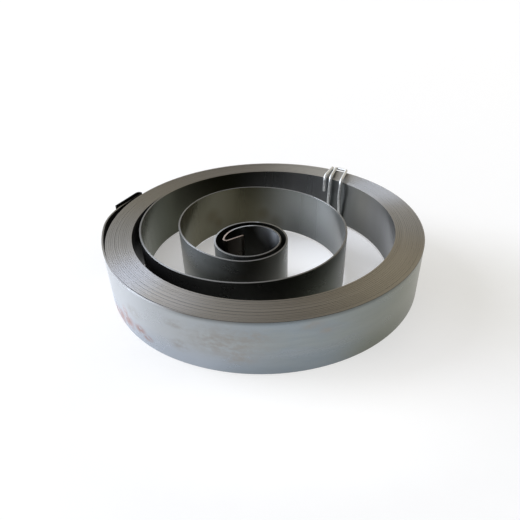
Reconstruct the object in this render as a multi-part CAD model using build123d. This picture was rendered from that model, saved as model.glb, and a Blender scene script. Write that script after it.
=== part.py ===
from build123d import *
from math import cos, radians, sin
import os

# Reel mainspring: a flat spring-steel strip, coiled edge-on, as it is sold for a reel's
# drum. Most turns lie packed in a ring, the last three stand free inside it, and a loop of
# galvanised wire round the ring keeps it from opening.
# Frame, in mm: Z is the ring's axis and points up, and z = 0 is the surface it lies on.

# The strip
strip_thickness = 0.8
strip_width = 25.4

# The packed ring, followed inwards and anticlockwise as seen from above
ring_radius = 75.0            # outer face of the outermost packed turn
turn_gap = 0.485              # between two turns as drawn: a third of the real ring's turns
whole_turns = 9               # are left out, which keeps the facets few, and the rest spread
ring_from = 209               # azimuth, in degrees, at which the outermost turn lies down
ring_to = 142                 # azimuth at which the innermost turn leaves the ring

# The free turns inside the ring, as (middle radius, degrees turned), from the ring inwards.
# The outer ones spring open against the ring, so their radii are shares of its inner radius.
open_turns = [(0.80, 23), (0.96, 45), (0.84, 60), (0.73, 180), (0.54, 60), (0.64, 100)]
arbor_radius = 12.5           # the arbor turns wind down to it: their radii are shares of it
arbor_turns = [(1.512, 90), (1.312, 180), (1.192, 180), (1.032, 195)]

# The inner end, folded inwards to catch the slot of the arbor
inner_hook_bend = 1.0         # inside radius
inner_hook_turn = 127
inner_hook_length = 8.0

# The outer end, softened, straightened and folded outwards to catch the drum's anchor bar.
# It comes off the ring in two bends, whose radii are shares of the ring's radius.
loose_turns = [(0.54267, 34), (1.32533, 21)]
straight_end_length = 14.5
outer_hook_bend = 1.05        # inside radius
outer_hook_length = 17.0

# The tie wire. Azimuths are of a strand at the ring's inner and outer face.
wire_diameter = 1.6
wire_sides = 8                # round wire, drawn eight-sided to keep its facets few
wire_clearance = 0.2          # between the wire and the ring
arch_bend = 3.0               # middle radius where a strand arches down inside the ring
corner_bend = 1.2             # middle radius of the wire's other corners
bow_bend = 14.0               # middle radius of the bow in the strand round the ring
arch = 1.0                    # how far an arched corner stands off the ring, each way
bow = 0.8                     # how far the bow stands off further than the arch
bow_depth = 7.7               # of the bow below the strip's upper edge
hook_azimuths = (53.6, 56.2)  # of the strand with the short end, which hooks over the ring
hook_drop = 7.4               # of the short end below the strip's upper edge
tail_azimuths = (50.1, 54.6)  # of the strand with the long end
tail_drop = 20.0              # of the long end below the strip's upper edge
tail_lean = 0.8               # degrees by which the long end lies further round
leg_azimuths = (43.3, 49.3)   # of the strand that goes on down and round the ring

turn_pitch = strip_thickness + turn_gap
start_radius = ring_radius - strip_thickness / 2
ring_sweep = 360 * whole_turns + (ring_to - ring_from) % 360
ring_inner_radius = start_radius - turn_pitch * ring_sweep / 360
wire_radius = wire_diameter / 2
strip_bottom = wire_diameter + wire_clearance
strip_top = strip_bottom + strip_width


def ring_turns():
    """The packed ring as half circles, each half a pitch smaller in diameter than the last."""
    half_turns, rest = divmod(ring_sweep, 180)
    radii = [start_radius - turn_pitch * (0.25 + 0.5 * half) for half in range(half_turns + 1)]
    return [(radius, 180) for radius in radii[:-1]] + [(radii[-1], rest)]


def strip_face(bends, heading, offset):
    """One face of the strip: tangent arcs laid end to end from the ring's start.

    Each bend is (middle radius, degrees turned), to the left if positive, or (None, length)
    for a straight. The offset is how far the face lies to the left of the middle line.
    """
    point = Vector(start_radius, 0).rotate(Axis.Z, ring_from)
    edges = []
    for radius, amount in bends:
        ahead = Vector(1, 0).rotate(Axis.Z, heading)
        left = ahead.rotate(Axis.Z, 90)
        if radius is None:
            edges.append(Edge.make_line(point + left * offset, point + (left * offset + ahead * amount)))
            point = point + ahead * amount
            continue
        side = 1 if amount > 0 else -1
        centre = point + left * radius * side
        first = heading - 90 * side
        turned = ThreePointArc(*[
            centre + Vector(radius - offset * side, 0).rotate(Axis.Z, first + amount * share)
            for share in (0, 0.5, 1)
        ])
        edges.append(turned.edge())
        heading += amount
        point = centre + Vector(radius, 0).rotate(Axis.Z, first + amount)
    return edges


def make_strip():
    """The whole strip, from the outer hook to the inner hook, as one outline drawn up."""
    inwards = ring_turns()
    inwards += [(share * ring_inner_radius, turn) for share, turn in open_turns]
    inwards += [(share * arbor_radius, turn) for share, turn in arbor_turns]
    inwards += [(inner_hook_bend + strip_thickness / 2, inner_hook_turn), (None, inner_hook_length)]
    outwards = [(share * ring_radius, -turn) for share, turn in reversed(loose_turns)]
    outwards += [(None, straight_end_length)]
    outwards += [(outer_hook_bend + strip_thickness / 2, 180), (None, outer_hook_length)]

    half = strip_thickness / 2
    inner_face = strip_face(inwards, ring_from + 90, half)
    outer_face = strip_face(inwards, ring_from + 90, -half)
    inner_face_back = strip_face(outwards, ring_from - 90, -half)
    outer_face_back = strip_face(outwards, ring_from - 90, half)
    ends = [
        Edge.make_line(inner_face[-1] @ 1, outer_face[-1] @ 1),
        Edge.make_line(inner_face_back[-1] @ 1, outer_face_back[-1] @ 1),
    ]
    outline = Wire(inner_face + outer_face + inner_face_back + outer_face_back + ends)
    section = Face(outline).moved(Location((0, 0, strip_bottom)))
    return extrude(section, amount=strip_width, dir=(0, 0, 1))


def on_ring(radius, azimuth, height):
    """A point at a radius from the ring's axis, an azimuth in degrees and a height."""
    return (radius * cos(radians(azimuth)), radius * sin(radians(azimuth)), height)


def make_wire():
    """The tie wire: the long end inside the ring, a turn back over the outer edge, one strand
    down and round the ring, and the short end hooked over it from outside."""
    outer_face = ring_radius - turn_pitch * ((hook_azimuths[1] - ring_from) % 360) / 360
    inner_face = (
        ring_inner_radius - strip_thickness / 2
        + turn_pitch * ((ring_to - hook_azimuths[1]) % 360) / 360
    )
    stand_off = wire_clearance + wire_radius
    inside = inner_face - stand_off
    outside = outer_face + stand_off
    over = strip_top + stand_off
    under = wire_radius

    route = [
        (inside - arch, tail_azimuths[0] + tail_lean, strip_top - tail_drop),
        (inside - arch, tail_azimuths[0], over + arch),
        (outside, tail_azimuths[1], over),
        (outside, leg_azimuths[1], over),
        (inside - arch, leg_azimuths[0], over + arch),
        (inside - arch - bow, leg_azimuths[0], strip_top - bow_depth),
        (inside, leg_azimuths[0], under),
        (outside, hook_azimuths[1], under),
        (outside, hook_azimuths[1], over),
        (inside - arch, hook_azimuths[0], over + arch),
        (inside - arch, hook_azimuths[0], strip_top - hook_drop),
    ]
    bends = [arch_bend, corner_bend, corner_bend, arch_bend, bow_bend]
    bends += [corner_bend, corner_bend, corner_bend, arch_bend]
    path = FilletPolyline(*[on_ring(*corner) for corner in route], radius=bends)
    cut_end = Plane(origin=path @ 0, z_dir=path % 0) * RegularPolygon(wire_radius, wire_sides)
    return sweep(cut_end, path=path)


strip = make_strip()
wire = make_wire()
print("strip", strip.volume, strip.is_valid, len(strip.faces()), strip.bounding_box())
print("wire", wire.volume, wire.is_valid, len(wire.faces()), len(wire.solids()), wire.bounding_box())
os.makedirs("parts", exist_ok=True)
export_step(strip, "parts/mainspring_strip.step")
export_step(wire, "parts/tie_wire.step")
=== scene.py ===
import bpy
import numpy as np
from mathutils import Matrix, Vector


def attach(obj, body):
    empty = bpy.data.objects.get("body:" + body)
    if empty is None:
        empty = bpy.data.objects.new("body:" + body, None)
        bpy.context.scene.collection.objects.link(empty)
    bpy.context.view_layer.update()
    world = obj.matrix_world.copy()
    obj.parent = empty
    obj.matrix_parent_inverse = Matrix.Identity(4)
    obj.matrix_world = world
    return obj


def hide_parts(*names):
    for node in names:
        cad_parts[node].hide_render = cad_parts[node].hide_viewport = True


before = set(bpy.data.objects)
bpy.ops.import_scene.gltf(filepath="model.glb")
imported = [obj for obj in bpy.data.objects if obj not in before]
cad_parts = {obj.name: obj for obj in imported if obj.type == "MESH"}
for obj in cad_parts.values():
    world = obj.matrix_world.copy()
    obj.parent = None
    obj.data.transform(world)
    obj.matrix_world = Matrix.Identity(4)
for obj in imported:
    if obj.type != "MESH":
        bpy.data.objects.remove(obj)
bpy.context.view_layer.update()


# ---------------------------------------------------------------------------
# The spring strip. One length of cold-rolled, hardened and tempered steel with its edges
# rounded off, coiled edge-on: a packed ring, three free turns sprung open inside it, arbor
# turns at the middle, and a hook folded at each end.

strip_thickness = 0.0008
strip_width = 0.0254
strip_bottom = 0.0018           # the ring lies this high, on the tie wire
strip_top = strip_bottom + strip_width
edge_rounding = 0.00003
face_margin = 0.0004            # from each corner to a row of points on the wide face
ring_radius = 0.075             # outer face of the outermost packed turn
ring_wall = 0.0126108           # from the outermost turn's middle line to the innermost's
whole_turns = 14
ring_from, ring_to = 209, 142   # azimuths where the outermost turn lies down, the innermost leaves
ring_sweep = 360 * whole_turns + (ring_to - ring_from) % 360
turn_pitch = ring_wall / (ring_sweep / 360)
start_radius = ring_radius - strip_thickness / 2
ring_inner_radius = start_radius - ring_wall

# Every bend is its middle radius and the degrees it turns, and every straight None and its
# length. The ring is half circles, each half a pitch smaller in diameter than the last.
half_turns, part_turn = divmod(ring_sweep, 180)
half_radii = start_radius - turn_pitch * (0.25 + 0.5 * np.arange(half_turns + 1))
ring_bends = [(radius, 180) for radius in half_radii[:-1]] + [(half_radii[-1], part_turn)]
open_shares = [(0.80, 23), (0.96, 45), (0.84, 60), (0.73, 180), (0.54, 60), (0.64, 100)]
open_bends = [(share * ring_inner_radius, turn) for share, turn in open_shares]
arbor_bends = [(0.0189, 90), (0.0164, 180), (0.0149, 180), (0.0129, 195)]
inner_fold, outer_fold = 0.001, 0.00105     # inside radii of the hooks
inner_hook = [(inner_fold + strip_thickness / 2, 127), (None, 0.008)]
outer_bends = [(0.0994, -21), (0.0407, -34), (None, 0.0145)]
outer_hook = [(outer_fold + strip_thickness / 2, 180), (None, 0.017)]
# About how many degrees lie between two stations on a coil, and on a fold, which is any bend
# tighter than the tightest coil.
coil_step, fold_step, tightest_coil = 2.5, 12, 0.01


def middle_line(bends, heading):
    """Stations on the strip's middle line, as complex numbers, with the heading at each.

    An arc's centre lies a radius to the side it turns to, and its points are that centre
    less the side's radius, turned by the heading so far; a straight runs on ahead.
    """
    point = start_radius * np.exp(1j * np.radians(ring_from))
    heading = np.radians(heading)
    points, headings = [np.array([point])], [np.array([heading])]
    for radius, amount in bends:
        if radius is None:
            ahead = np.linspace(0, amount, 5)[1:]
            points.append(point + ahead * np.exp(1j * heading))
            headings.append(np.full(len(ahead), heading))
        else:
            side = np.sign(amount)
            step = coil_step if radius > tightest_coil else fold_step
            turned = np.radians(np.linspace(0, amount, int(abs(amount) / step) + 4)[1:])
            centre = point + 1j * side * radius * np.exp(1j * heading)
            points.append(centre - 1j * side * radius * np.exp(1j * (heading + turned)))
            headings.append(heading + turned)
        point, heading = points[-1][-1], headings[-1][-1]
    return np.concatenate(points), np.concatenate(headings)


def strip_section():
    """The strip's section as a closed outline of (across, up), with a unit normal at each.

    The upper right corner is a point on the wide face and a quarter circle about the corner's
    centre. The upper left one mirrors it, and the lower two are the upper two turned half round.
    """
    arc = np.exp(1j * np.radians(np.linspace(0, 90, 5)))
    facing = np.concatenate([arc[:1], arc])
    centre = complex(strip_thickness, strip_width) / 2 - edge_rounding * (1 + 1j)
    corner = centre + edge_rounding * facing
    corner[0] -= 1j * face_margin
    upper = np.concatenate([corner, -corner[::-1].conj()])
    upper_facing = np.concatenate([facing, -facing[::-1].conj()])
    return np.concatenate([upper, -upper]), np.concatenate([upper_facing, -upper_facing])


def skin(name, rows, girth_at, run_at, marks):
    """A mesh over a grid of points, rows along the piece and columns round it.

    It is closed round the girth, and at both ends by a fan to the mean of the end row. The UV
    map holds the run and the girth, and each mark is a value at every point of the grid.
    """
    stations, around = rows.shape[:2]
    caps = np.array([rows[0].mean(0), rows[-1].mean(0)])
    corner = np.arange(stations * around).reshape(stations, around)
    beside = np.roll(corner, -1, 1)
    quads = np.stack([corner[:-1], beside[:-1], beside[1:], corner[1:]], -1).reshape(-1, 4)
    first = np.stack([beside[0], corner[0], np.full(around, stations * around)], -1)
    last = np.stack([corner[-1], beside[-1], np.full(around, stations * around + 1)], -1)
    mesh = bpy.data.meshes.new(name)
    points = np.concatenate([rows.reshape(-1, 3), caps])
    mesh.from_pydata(points.tolist(), [], quads.tolist() + first.tolist() + last.tolist())
    mesh.polygons.foreach_set("use_smooth", np.ones(len(mesh.polygons), bool))

    # Past its last point the girth goes on by the last step, back to the first point.
    girth_on = np.append(girth_at, girth_at[0] + 2 * girth_at[-1] - girth_at[-2])
    side = np.arange(around)
    run_rows = np.stack([run_at[:-1], run_at[:-1], run_at[1:], run_at[1:]], -1)
    u = np.repeat(run_rows[:, None, :], around, 1)
    v = np.stack([girth_on[side], girth_on[side + 1], girth_on[side + 1], girth_on[side]], -1)
    grid = np.stack([u, np.broadcast_to(v, u.shape)], -1).reshape(-1, 2)
    fans = np.repeat([run_at[0], run_at[-1]], 3 * around)[:, None].repeat(2, 1)
    layer = mesh.uv_layers.new(name="run_and_girth")
    layer.data.foreach_set("uv", np.concatenate([grid, fans]).ravel())
    for mark, values in marks.items():
        attribute = mesh.attributes.new(mark, "FLOAT", "POINT")
        ends = np.array([values[0].mean(), values[-1].mean()])
        attribute.data.foreach_set("value", np.concatenate([values.ravel(), ends]))
    mesh.update()
    piece = bpy.data.objects.new(name, mesh)
    bpy.context.scene.collection.objects.link(piece)
    return piece


inwards = ring_bends + open_bends + arbor_bends + inner_hook
inner_part, inner_headings = middle_line(inwards, ring_from + 90)
outer_part, outer_headings = middle_line(outer_bends + outer_hook, ring_from - 90)
line = np.concatenate([outer_part[:0:-1], inner_part])
headings = np.concatenate([outer_headings[:0:-1] + np.pi, inner_headings])
run = np.concatenate([[0], np.cumsum(np.abs(np.diff(line)))])
ring_start = run[len(outer_part) - 1]
ring_length = sum(radius * np.radians(turn) for radius, turn in ring_bends)

section, section_normals = strip_section()
girth = np.concatenate([[0], np.cumsum(np.abs(np.diff(section)))])
# No strip lies dead level or dead true: a few slow waves of some hundredths of a millimetre.
lift = 0.000025 * np.sin(run / 0.121) + 0.00002 * np.sin(run / 0.047 + 1.3)
sway = 0.00001 * np.sin(run / 0.083 + 0.4) + 0.000008 * np.sin(run / 0.029)
# The outermost turn isn't quite down on the ring just after it joins it.
gap, gap_at, gap_reach = 0.00026, 0.029, 0.016
sway -= gap * np.exp(-(((run - ring_start - gap_at) / gap_reach) ** 2))
to_left = 1j * np.exp(1j * headings)
flat = line[:, None] + to_left[:, None] * (section.real[None, :] + sway[:, None])
height = strip_bottom + strip_width / 2 + section.imag[None, :] + lift[:, None]
strip_rows = np.stack([flat.real, flat.imag, np.broadcast_to(height, flat.shape)], -1)
# Where each point lies: on the rounded edge, on the inner side, and how far along the strip,
# from the start of the ring and from its end.
marks = {
    "edge": np.broadcast_to(np.abs(section_normals.imag) ** 2, flat.shape),
    "inner_side": np.broadcast_to(section_normals.real * 0.5 + 0.5, flat.shape),
    "along": np.broadcast_to((run - ring_start)[:, None], flat.shape),
    "free": np.broadcast_to((run - ring_start - ring_length)[:, None], flat.shape),
}
strip = skin("spring_strip", strip_rows, girth, run, marks)


class Finish:
    """A value or colour of one material. Arithmetic on values adds Math nodes."""

    def __init__(self, tree, socket=None):
        self.tree, self.socket = tree, socket

    def add(self, kind, settings=None, sockets=None, out=0):
        """A node of a kind: its settings first, then the values or links of its sockets."""
        node = self.tree.nodes.new(kind)
        for name, value in (settings or {}).items():
            if name == "stops":
                ramp = node.color_ramp
                while len(ramp.elements) < len(value):
                    ramp.elements.new(0.5)
                for element, (place, colour) in zip(ramp.elements, value):
                    element.position, element.color = place, (*colour, 1)
            else:
                setattr(node, name, value)
        for name, value in (sockets or {}).items():
            if isinstance(value, Finish):
                self.tree.links.new(value.socket, node.inputs[name])
            else:
                node.inputs[name].default_value = value
        return Finish(self.tree, node.outputs[out])

    def maths(self, operation, *values):
        """A Math node on the values."""
        return self.add("ShaderNodeMath", {"operation": operation}, dict(enumerate(values)))

    def __add__(self, other):
        return self.maths("ADD", self, other)

    def __sub__(self, other):
        return self.maths("SUBTRACT", self, other)

    def __mul__(self, other):
        return self.maths("MULTIPLY", self, other)

    def __truediv__(self, other):
        return self.maths("DIVIDE", self, other)

    def __rsub__(self, other):
        return self.maths("SUBTRACT", other, self)

    __radd__, __rmul__ = __add__, __mul__

    def greater(self, other):
        """The greater of this value and another."""
        return self.maths("MAXIMUM", self, other)

    def spread(self, low, high, to_low=0.0, to_high=1.0):
        """The value carried smoothly from one range to another, and held at its ends."""
        ends = {"From Min": low, "From Max": high, "To Min": to_low, "To Max": to_high}
        settings = {"interpolation_type": "SMOOTHSTEP"}
        return self.add("ShaderNodeMapRange", settings, {"Value": self, **ends})

    def fade(self, low, high, strength=1.0):
        """A strength that is whole below a range and gone above it."""
        return self.spread(low, high, strength, 0.0)

    def between(self, start, full, fading, end, strength=1.0):
        """A strength that comes in over one range and fades over a later one."""
        return self.spread(start, full) * self.fade(fading, end, strength)

    def noise(self, scale, detail=3.0, stretch=(1, 1, 1), shift=(0, 0, 0), roughness=0.5):
        """Noise read at this place, its grain stretched along the axes."""
        mapping = {"Vector": self, "Scale": stretch, "Location": shift}
        placed = self.add("ShaderNodeMapping", None, mapping)
        grain = {"Vector": placed, "Scale": scale, "Detail": detail, "Roughness": roughness}
        return self.add("ShaderNodeTexNoise", {"normalize": True}, grain)

    def blend(self, colour, other):
        """A colour that turns into the other as this value goes from nothing to one."""
        colour, other = (tint if isinstance(tint, Finish) else (*tint, 1) for tint in (colour, other))
        return self.add("ShaderNodeMix", {"data_type": "RGBA"}, {0: self, 6: colour, 7: other}, out=2)

    def tints_along(self, *stops):
        """Colours that follow one another along the strip, each (distance, colour)."""
        start, end = stops[0][0], stops[-1][0]
        places = [((at - start) / (end - start), colour) for at, colour in stops]
        share = (self - start) / (end - start)
        ramp = self.add("ShaderNodeValToRGB", {"stops": places}, {0: share})
        ramp.socket.node.color_ramp.interpolation = "CARDINAL"
        return ramp

    def on_vector(self, operation, *values, out=0):
        """A Vector Math node on this vector and the values."""
        sockets = dict(enumerate((self, *values)))
        return self.add("ShaderNodeVectorMath", {"operation": operation}, sockets, out=out)

    def length(self):
        """How long this vector is."""
        return self.on_vector("LENGTH", out=1)

    def spot(self, centre, size):
        """A soft patch round a centre. Along each axis the offset from it is divided by the size,
        and the length of the result fades from one to nothing."""
        return self.on_vector("SUBTRACT", centre).on_vector("DIVIDE", size).length().fade(0.1, 1.15)

    def feed(self, socket):
        """Links this to a socket of the shader."""
        self.tree.links.new(self.socket, socket)


def new_finish(name):
    """A node material of that name, its surface shader, and the finish to build on it."""
    material = bpy.data.materials.new(name)
    material.use_nodes = True
    return material, material.node_tree.nodes["Principled BSDF"], Finish(material.node_tree)


def on_ring(azimuth, rise, radius=ring_radius):
    """A place at a radius, from its azimuth in degrees and its rise above the strip's foot."""
    turn = np.radians(azimuth)
    return (radius * np.cos(turn), radius * np.sin(turn), strip_bottom + rise)


steel, shader, finish = new_finish("tempered_spring_steel")
place = finish.add("ShaderNodeTexCoord", out=3)
uv = finish.add("ShaderNodeUVMap", {"uv_map": "run_and_girth"})
edge, inner_side, along, free = (
    finish.add("ShaderNodeAttribute", {"attribute_name": mark}, out=2) for mark in marks
)
upward = finish.add("ShaderNodeSeparateXYZ", None, {0: place}, out=2)
on_strip = finish.add("ShaderNodeCombineXYZ", None, {0: free, 1: upward - strip_bottom})
on_inside = inner_side.spread(0.4, 0.6)
on_edge = edge.spread(0.3, 0.95)


def from_foot(reach, strength=1.0, start=0.0):
    """A strength that is whole up to a start above the strip's lower edge, gone at a reach."""
    return upward.fade(strip_bottom + start, strip_bottom + reach, strength)


def patches(*places):
    """Soft patches on the ring's outer wall, the stronger one where they overlap.

    Each is its azimuth in degrees and its rise, half length and half height in mm.
    """
    cover = None
    for azimuth, rise, length, tall in places:
        size = (length / 1000, length / 1000, tall / 1000)
        patch = place.spot(on_ring(azimuth, rise / 1000), size)
        cover = patch if cover is None else cover.greater(patch)
    return cover


# The tempering oxide: blue-grey and greener in soft clouds, streaked by the rolls. It is paler
# from where the outermost turn comes off the ring round towards the front, a painted reflection
# of the bright table on the left, and greener and darker further round, a painted reflection of
# the shaded table on the right.
cloud = uv.noise(58, 4, (1, 2.4, 1))
drift = uv.noise(17, 3, (1, 5, 1), shift=(3, 0, 0))
rolled = uv.noise(150, 4, (0.3, 2.6, 1), shift=(9, 0, 0), roughness=0.6)
oxide_and_painted_light = cloud.spread(0.38, 0.62).blend((0.278, 0.318, 0.352), (0.298, 0.328, 0.338))
oxide_and_painted_light = (drift.spread(0.45, 0.75) * 0.5).blend(oxide_and_painted_light, (0.33, 0.335, 0.325))
oxide_and_painted_light = (rolled.spread(0.34, 0.66) * 0.34).blend(oxide_and_painted_light, (0.215, 0.252, 0.275))
oxide_and_painted_light = (along.fade(0.025, 0.090) * 0.85).blend(oxide_and_painted_light, (0.49, 0.51, 0.53))
oxide_and_painted_light = (along.between(0.085, 0.15, 0.20, 0.28) * 0.85).blend(oxide_and_painted_light, (0.26, 0.268, 0.215))

# Its foot is bluer at first, then darker, and then darker and greener: painted shade along the
# foot. Round the front the upper corner is darker, on the wall and on the edge.
bluer = from_foot(0.014, 0.8, start=0.002) * along.fade(0.055, 0.09)
oxide_and_painted_light = bluer.blend(oxide_and_painted_light, (0.37, 0.41, 0.47))
painted_foot_shade_front = from_foot(0.013, 0.6) * along.between(0.052, 0.072, 0.105, 0.125)
oxide_and_painted_light = painted_foot_shade_front.blend(oxide_and_painted_light, (0.225, 0.265, 0.305))
round_front = along.between(0.034, 0.055, 0.17, 0.20)
darker_top_corner = upward.spread(strip_top - 0.0020, strip_top, 0.0, 0.62) * round_front
oxide_and_painted_light = darker_top_corner.blend(oxide_and_painted_light, (0.08, 0.085, 0.08))
painted_foot_shade = from_foot(0.014, 0.8) * along.between(0.10, 0.125, 0.170, 0.178)
oxide_and_painted_light = painted_foot_shade.blend(oxide_and_painted_light, (0.175, 0.185, 0.145))

# The free turns took their own tempers, and the tints along each stretch of either face, from the
# end of the ring to the folded inner end, also hold painted light and shade: stretches that face
# the window are painted brighter and enclosed ones darker, and the bright patches near the upper
# edge are painted window light.
outside = free.tints_along(
    (0.0, (0.20, 0.205, 0.21)), (0.075, (0.032, 0.032, 0.034)), (0.105, (0.15, 0.15, 0.14)),
    (0.135, (0.044, 0.045, 0.036)), (0.165, (0.125, 0.135, 0.112)), (0.25, (0.20, 0.205, 0.21)),
    (0.335, (0.28, 0.285, 0.275)), (0.350, (0.125, 0.135, 0.13)), (0.37, (0.06, 0.06, 0.055)),
    (0.385, (0.09, 0.09, 0.08)), (0.405, (0.235, 0.24, 0.22)), (0.465, (0.34, 0.36, 0.38)),
    (0.49, (0.25, 0.255, 0.26)), (0.525, (0.05, 0.05, 0.042)), (0.535, (0.02, 0.018, 0.015)),
    (0.56, (0.19, 0.165, 0.13)),
)
oxide_and_painted_light = free.spread(-0.02, 0.0).blend(oxide_and_painted_light, outside)
# A painted highlight high on a free turn's outer face, where the window's light falls.
painted_window_light = on_strip.spot((0.350, 0.0245, 0), (0.024, 0.011, 1))
oxide_and_painted_light = (painted_window_light * 0.95).blend(oxide_and_painted_light, (0.45, 0.475, 0.50))
inside = free.tints_along(
    (-0.19, (0.335, 0.35, 0.37)), (-0.165, (0.335, 0.35, 0.37)), (-0.13, (0.26, 0.26, 0.25)),
    (-0.12, (0.232, 0.232, 0.212)), (-0.105, (0.25, 0.262, 0.265)), (-0.075, (0.24, 0.245, 0.25)),
    (-0.045, (0.055, 0.055, 0.046)), (-0.015, (0.076, 0.076, 0.053)), (0.015, (0.15, 0.163, 0.13)),
    (0.045, (0.27, 0.29, 0.25)), (0.12, (0.25, 0.255, 0.24)), (0.195, (0.56, 0.575, 0.57)),
    (0.225, (0.49, 0.525, 0.535)), (0.255, (0.138, 0.138, 0.113)), (0.285, (0.155, 0.148, 0.105)),
    (0.315, (0.235, 0.232, 0.17)), (0.35, (0.20, 0.20, 0.16)), (0.42, (0.06, 0.06, 0.05)),
    (0.485, (0.11, 0.115, 0.115)), (0.505, (0.07, 0.072, 0.07)), (0.518, (0.03, 0.03, 0.026)),
    (0.56, (0.035, 0.035, 0.03)),
)
# A painted reflection of the window high on the arbor's inner face, which faces it.
painted_window_light = on_strip.spot((0.493, 0.0275, 0), (0.023, 0.0165, 1))
painted_window_light = painted_window_light.greater(on_strip.spot((0.507, 0.0285, 0), (0.0120, 0.0145, 1)))
inside = painted_window_light.blend(inside, (0.88, 0.92, 0.96))
streak = uv.noise(75, 3, (1, 0.25, 1), shift=(5, 0, 0))
inside = (streak.spread(0.32, 0.68) * 0.12).blend(inside, (0.05, 0.05, 0.042))
stains = [(0.287, 0.012, 0.006), (0.283, 0.007, 0.004), (0.249, 0.0045, 0.006), (0.256, 0.009, 0.005)]
for run_at, rise, size in stains:
    stain = on_strip.spot((run_at, rise, 0), (size, size, 1))
    inside = (stain * 0.4).blend(inside, (0.075, 0.06, 0.03))
wall = on_inside.blend(oxide_and_painted_light, inside)
# The inner face is painted darker towards the foot, a painted shade, inside the ring and on a
# stretch of the first free turn.
painted_foot_shade = free.fade(-0.085, -0.055) + free.between(0.13, 0.18, 0.235, 0.26)
painted_foot_shade = painted_foot_shade * inner_side * upward.fade(strip_bottom, strip_top, 0.75)
wall = painted_foot_shade.blend(wall, (0.05, 0.05, 0.045))

# Tan bloom and rust on the outer wall, broken up by the grain of the steel.
bloom = patches(
    (225, 14, 6, 4), (259, 15, 22, 11), (254, 16, 10, 6), (262, 9, 10, 6), (266, 18, 9, 5),
    (243, 19, 6, 3), (244, 9, 6, 4), (283, 22, 7, 2.5), (288, 18.5, 6, 2.5),
)
smear = uv.noise(300, 5, (0.75, 1.25, 1), roughness=0.7)
bloom = bloom * smear.spread(0.32, 0.64)
wall = (bloom * 0.75).blend(wall, (0.30, 0.285, 0.265))
rust = patches(
    (208, 1.5, 8, 3), (218.5, 9.5, 3, 3.6), (220, 5.5, 6, 4.5), (214, 3.5, 6, 5),
    (227, 6.5, 5, 2.8), (230.5, 4.5, 4, 2.0),
)
pitting = place.noise(420, 5, (1, 1, 1.6))
rust = rust * pitting.spread(0.33, 0.53)
wall = (rust * 0.85).blend(wall, (0.335, 0.187, 0.15))

# The edges: sheared and rounded, browner, each turn a little different, scored along their
# length, and tinted spot by spot round the ring, each (azimuth, half width, strength, tint). The
# spots at 218, 244, 33 and 17 degrees are painted highlight colour where the window's glints
# fall on the edges; the others lighten or darken the edges round the ring.
turn_noise = {"W": along, "Scale": 2.1, "Detail": 2.0}
turn_tint = finish.add("ShaderNodeTexNoise", {"noise_dimensions": "1D"}, turn_noise)
edge_colour = turn_tint.spread(0.3, 0.7).blend((0.275, 0.255, 0.22), (0.345, 0.322, 0.285))
scored = uv.noise(900, 3, (0.03, 6, 1), roughness=0.6)
edge_colour = (scored.spread(0.35, 0.7) * 0.3).blend(edge_colour, (0.16, 0.145, 0.12))
ring_middle = 0.069
for azimuth, size, strength, tint in (
    (218, 0.024, 0.85, (0.25, 0.252, 0.262)),
    (244, 0.014, 0.7, (0.37, 0.355, 0.34)),
    (33, 0.026, 0.85, (0.257, 0.260, 0.263)),
    (17, 0.015, 0.6, (0.315, 0.32, 0.328)),
    (64, 0.034, 0.6, (0.43, 0.415, 0.37)),
    (-5, 0.024, 0.6, (0.31, 0.31, 0.30)),
    (315, 0.04, 0.6, (0.40, 0.375, 0.31)),
    (152, 0.046, 0.8, (0.245, 0.232, 0.195)),
    (186, 0.032, 0.6, (0.285, 0.285, 0.272)),
    (262, 0.03, 0.6, (0.262, 0.243, 0.21)),
):
    edge_tone_and_glint = place.spot(on_ring(azimuth, strip_width, ring_middle), (size, size, 0.01))
    edge_colour = (edge_tone_and_glint * strength).blend(edge_colour, tint)
edge_colour = free.spread(0.0, 0.03, 0.0, 0.85).blend(edge_colour, (0.235, 0.24, 0.24))
# Where the outermost turn stands off the ring its edge is painted bright, a painted highlight
# where the window's glint falls, and then it is darker along its outer corner. The folded inner
# end is brown.
painted_edge_glint = along.between(0.014, 0.026, 0.034, 0.050, 0.7)
edge_colour = painted_edge_glint.blend(edge_colour, (0.46, 0.475, 0.49))
from_axis = place.on_vector("MULTIPLY", (1, 1, 0)).length()
darker_outer_edge = from_axis.spread(ring_radius - 0.0006, ring_radius - 0.0003, 0.0, 0.85) * round_front
edge_colour = darker_outer_edge.blend(edge_colour, (0.09, 0.085, 0.075))
edge_colour = free.spread(0.528, 0.534, 0.0, 0.8).blend(edge_colour, (0.225, 0.17, 0.135))
colour = on_edge.blend(wall, edge_colour)

# The outer end was softened in a flame before it was folded, and its scale stayed black. Along
# the inner side, which faces the ring across a narrow gap, the black reaches further as painted
# shade, and it reaches least far on the edges.
scale = along.fade(-0.050, -0.024)
scale = scale.greater(on_inside * along.fade(-0.022, -0.010))
scale = scale * (1.0 - on_edge) + along.fade(-0.068, -0.056) * on_edge
colour = scale.blend(colour, (0.012, 0.012, 0.010))

rough = 0.25 + 0.06 * cloud + 0.24 * edge + 0.25 * rust + 0.03 * bloom + 0.65 * scale
metal = 1.0 - 0.7 * rust
relief = scored * 0.5 * edge + pitting * rust * 0.5
bump = finish.add("ShaderNodeBump", None, {"Strength": 0.35, "Distance": 0.00004, "Height": relief})
colour.feed(shader.inputs["Base Color"])
rough.feed(shader.inputs["Roughness"])
metal.feed(shader.inputs["Metallic"])
bump.feed(shader.inputs["Normal"])
# The steel was rolled lengthwise, so a highlight spreads across the strip.
shader.inputs["Anisotropic"].default_value = 0.85
shader.inputs["Anisotropic Rotation"].default_value = 0.25
strip.data.materials.append(steel)
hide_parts("mainspring_strip")
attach(strip, "root")


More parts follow.
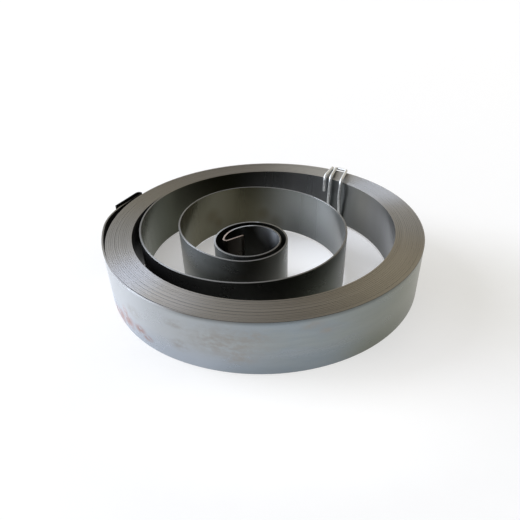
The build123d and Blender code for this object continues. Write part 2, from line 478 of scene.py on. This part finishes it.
# ---------------------------------------------------------------------------
# The tie wire. A length of soft galvanised iron wire, bent by hand: the long end hangs
# inside the ring, and the wire turns back over the outer edge, goes down and round the ring
# and hooks over it once more with its short end.

wire_radius = 0.0008
wire_clearance = 0.0002
arch, bow = 0.001, 0.0008       # how far an arched corner stands off the ring, and the bow more
arch_bend, corner_bend, bow_bend = 0.003, 0.0012, 0.014
wire_step = 7                   # degrees from one station of a bend to the next, about
# Azimuths of each strand at the ring's inner and outer face, and drops from the upper edge.
hook_in, hook_out, hook_drop = 53.6, 56.2, 0.0074
tail_in, tail_out, tail_drop, tail_end = 50.1, 54.6, 0.020, 50.9
leg_in, leg_out, bow_drop = 43.3, 49.3, 0.0077

stand_off = wire_clearance + wire_radius
outer_face = ring_radius - turn_pitch * ((hook_out - ring_from) % 360) / 360
inner_face = ring_inner_radius - strip_thickness / 2 + turn_pitch * ((ring_to - hook_out) % 360) / 360
within, beyond = inner_face - stand_off, outer_face + stand_off
over, under = strip_top + stand_off, wire_radius

# Each corner as radius, azimuth and height, and the middle radius of the bend at it.
tie_route = np.array([
    (within - arch, tail_end, strip_top - tail_drop),
    (within - arch, tail_in, over + arch),
    (beyond, tail_out, over),
    (beyond, leg_out, over),
    (within - arch, leg_in, over + arch),
    (within - arch - bow, leg_in, strip_top - bow_drop),
    (within, leg_in, under),
    (beyond, hook_out, under),
    (beyond, hook_out, over),
    (within - arch, hook_in, over + arch),
    (within - arch, hook_in, strip_top - hook_drop),
])
tie_bends = [arch_bend, corner_bend, corner_bend, arch_bend, bow_bend]
tie_bends += [corner_bend, corner_bend, corner_bend, arch_bend]


def bent_wire(corners, bends):
    """Stations on a wire's middle line with two directions across it.

    At each corner an arc touches both runs at its radius times the tangent of half the turn,
    and the directions turn with it: v cos t + (k x v) sin t + k (k . v)(1 - cos t).
    """
    ahead = np.diff(corners, axis=0)
    ahead /= np.linalg.norm(ahead, axis=1)[:, None]
    across = np.cross(ahead[0], (0.0, 0.0, 1.0))
    across /= np.linalg.norm(across)
    points, sides, headings = [corners[:1]], [across[None]], [ahead[:1]]
    for corner, radius, before, after in zip(corners[1:-1], bends, ahead[:-1], ahead[1:]):
        axis = np.cross(before, after)
        turn = np.arctan2(np.linalg.norm(axis), before @ after)
        axis /= np.linalg.norm(axis)
        t = np.linspace(0, turn, int(np.degrees(turn) / wire_step) + 3)[:, None]
        inwards = np.cross(axis, before)
        start = corner - before * radius * np.tan(turn / 2)
        points.append(start + radius * (np.sin(t) * before + (1 - np.cos(t)) * inwards))
        last = sides[-1][-1]
        turned = last * np.cos(t) + np.cross(axis, last) * np.sin(t)
        sides.append(turned + axis * (axis @ last) * (1 - np.cos(t)))
        headings.append(np.cos(t) * before + np.sin(t) * inwards)
    points.append(corners[-1:])
    sides.append(sides[-1][-1:])
    headings.append(ahead[-1:])
    return tuple(np.concatenate(part) for part in (points, sides, headings))


radius, turn, height = tie_route[:, 0], np.radians(tie_route[:, 1]), tie_route[:, 2]
corners = np.stack([radius * np.cos(turn), radius * np.sin(turn), height], -1)
wire_line, wire_across, wire_ahead = bent_wire(corners, tie_bends)
wire_up = np.cross(wire_ahead, wire_across)
# The cut ends are nipped: over its first and last three stations the wire draws in.
nip_at, nip_share = np.array([0.0, 0.00008, 0.0003]), np.array([0.62, 0.88, 1.0])
wire_line, wire_across, wire_up = (
    np.pad(part, ((2, 2), (0, 0)), "edge") for part in (wire_line, wire_across, wire_up)
)
wire_line[:3] += wire_ahead[0] * nip_at[:, None]
wire_line[-3:] -= wire_ahead[-1] * nip_at[::-1, None]
wire_reach = np.full(len(wire_line), wire_radius)
wire_reach[:3] *= nip_share
wire_reach[-3:] *= nip_share[::-1]
wire_run = np.concatenate([[0], np.cumsum(np.linalg.norm(np.diff(wire_line, axis=0), axis=1))])
# A point round the wire is its middle line plus its reach times (cos t across + sin t up).
wire_turn = np.linspace(0, 2 * np.pi, 25)[:-1]
wire_ring = (
    np.cos(wire_turn)[:, None] * wire_across[:, None] + np.sin(wire_turn)[:, None] * wire_up[:, None]
)
wire_rows = wire_line[:, None] + wire_reach[:, None, None] * wire_ring
wire = skin("tie_wire_round", wire_rows, wire_turn * wire_radius, wire_run, {})

zinc, shader, finish = new_finish("galvanised_wire")
place = finish.add("ShaderNodeTexCoord", out=3)
uv = finish.add("ShaderNodeUVMap", {"uv_map": "run_and_girth"})
spangle = place.noise(900, 3)
drawn = uv.noise(700, 2, (0.12, 3, 1))
colour = spangle.spread(0.35, 0.65).blend((0.68, 0.69, 0.67), (0.86, 0.87, 0.85))
colour = (drawn.spread(0.55, 0.75) * 0.4).blend(colour, (0.50, 0.50, 0.48))
rough = 0.36 + 0.14 * spangle + 0.1 * drawn
relief = drawn + spangle * 0.5
bump = finish.add("ShaderNodeBump", None, {"Strength": 0.3, "Distance": 0.00004, "Height": relief})
colour.feed(shader.inputs["Base Color"])
rough.feed(shader.inputs["Roughness"])
bump.feed(shader.inputs["Normal"])
shader.inputs["Metallic"].default_value = 0.75
wire.data.materials.append(zinc)
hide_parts("tie_wire")
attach(wire, "root")


# ---------------------------------------------------------------------------
# The table, the light and the camera. The spring lies on the wire under one side of it and
# on its own edge opposite, so the table leans by that much under it.

lean_from = np.radians(50)      # azimuth of the strand under the ring
strand_at = 0.068               # how far from the axis the ring bears on it
slope = strip_bottom / (strand_at + ring_radius)
table_reach = 12.0
grid = table_reach * np.array([(-1, -1), (1, -1), (1, 1), (-1, 1)])
fall = (strand_at - grid @ (np.cos(lean_from), np.sin(lean_from))) * slope
table_mesh = bpy.data.meshes.new("table_top")
table_mesh.from_pydata(np.column_stack([grid, fall]).tolist(), [], [(0, 1, 2, 3)])
table = bpy.data.objects.new("table_top", table_mesh)
bpy.context.scene.collection.objects.link(table)

# The table is pale within the ring and a middle grey past it, so that it throws little light
# up at the spring. To the camera and in the metal it glows as well, and so shows as white. In
# front of the ring it glows more, a painted pool of light, and to its right less, a painted
# shadow.
white, shader, finish = new_finish("white_table")
place = finish.add("ShaderNodeTexCoord", out=3)
grain = place.noise(90, 3)
outward = place.length().spread(0.063, 0.074)
shade = outward.blend((0.79, 0.78, 0.76), (0.36, 0.358, 0.35))
shade = grain.spread(0.3, 0.7, 0.0, 0.012).blend(shade, (1.0, 1.0, 1.0))
glow = outward.blend((0.29, 0.29, 0.29), (0.605, 0.605, 0.605))
painted_light_pool = place.spot((0.010, -0.092, 0), (0.075, 0.035, 0.1)) * outward
glow = painted_light_pool.blend(glow, (0.715, 0.715, 0.71))
in_shadow = place.spot((0.116, -0.028, 0), (0.060, 0.075, 0.1)) * outward
glow = in_shadow.blend(glow, (0.50, 0.495, 0.475))
camera_ray = finish.add("ShaderNodeLightPath", out=0)
glossy_ray = finish.add("ShaderNodeLightPath", out=3)
shade.feed(shader.inputs["Base Color"])
(0.50 + 0.06 * grain).feed(shader.inputs["Roughness"])
glow.feed(shader.inputs["Emission Color"])
(camera_ray + glossy_ray * 0.95).feed(shader.inputs["Emission Strength"])
table_mesh.materials.append(white)


def towards(azimuth, height):
    """The unit direction at an azimuth and a height above level, in degrees."""
    turn, climb = np.radians(azimuth), np.radians(height)
    return (np.cos(climb) * np.cos(turn), np.cos(climb) * np.sin(turn), np.sin(climb))


# The room: bright and cool round the window, dim and warm on the other side. A direction's
# nearness to each light is the cosine between them.
world = bpy.data.worlds.new("room_light")
world.use_nodes = True
finish = Finish(world.node_tree)
facing = finish.add("ShaderNodeTexCoord", out=0)
window_side = facing.on_vector("DOT_PRODUCT", towards(172, 20), out=1).spread(-0.1, 0.95)
far_side = facing.on_vector("DOT_PRODUCT", towards(50, 28), out=1).spread(0.45, 0.98)
room = window_side.blend((0.11, 0.10, 0.085), (1.10, 1.14, 1.24))
room = room.on_vector("ADD", far_side.blend((0, 0, 0), (0.55, 0.50, 0.41)))
# What shows past the table is as white as the table is.
room = finish.add("ShaderNodeLightPath", out=0).blend(room, (1.0, 1.0, 1.0))
room.feed(world.node_tree.nodes["Background"].inputs["Color"])
bpy.context.scene.world = world

window = bpy.data.lights.new("window_light", "SUN")
window.energy = 2.6
window.angle = np.radians(36)
window.color = (0.89, 0.95, 1.08)
window_object = bpy.data.objects.new("window_light", window)
bpy.context.scene.collection.objects.link(window_object)
window_object.rotation_euler = Vector(towards(160, 28)).to_track_quat("Z", "Y").to_euler()

# The camera looks at the ring's axis, level with its upper edge, then turns a little aside and
# down, and rolls a little.
lens = bpy.data.cameras.new("camera")
lens.lens, lens.sensor_width = 32.44, 36.0
lens.clip_start, lens.clip_end = 0.01, 40.0
camera = bpy.data.objects.new("camera", lens)
bpy.context.scene.collection.objects.link(camera)
distance, rise = 3.030 * ring_radius, np.radians(28.34)
aside, down, roll = np.radians([-0.52, -4.75, -1.73])
eye = distance * np.array([0, -np.cos(rise), np.sin(rise)])
forward = -eye / distance
level = np.array([1.0, 0, 0])
forward = forward + np.tan(aside) * level + np.tan(down) * np.cross(level, forward)
forward /= np.linalg.norm(forward)
level = np.cross(forward, (0, 0, 1))
level /= np.linalg.norm(level)
upright = np.cross(level, forward)
right = np.cos(roll) * level + np.sin(roll) * upright
up = np.cos(roll) * upright - np.sin(roll) * level
stand = Matrix(np.column_stack([right, up, -forward]).tolist()).to_4x4()
stand.translation = eye + (0, 0, strip_top)
camera.matrix_world = stand
bpy.context.scene.camera = camera

bpy.context.scene.view_settings.view_transform = "Standard"
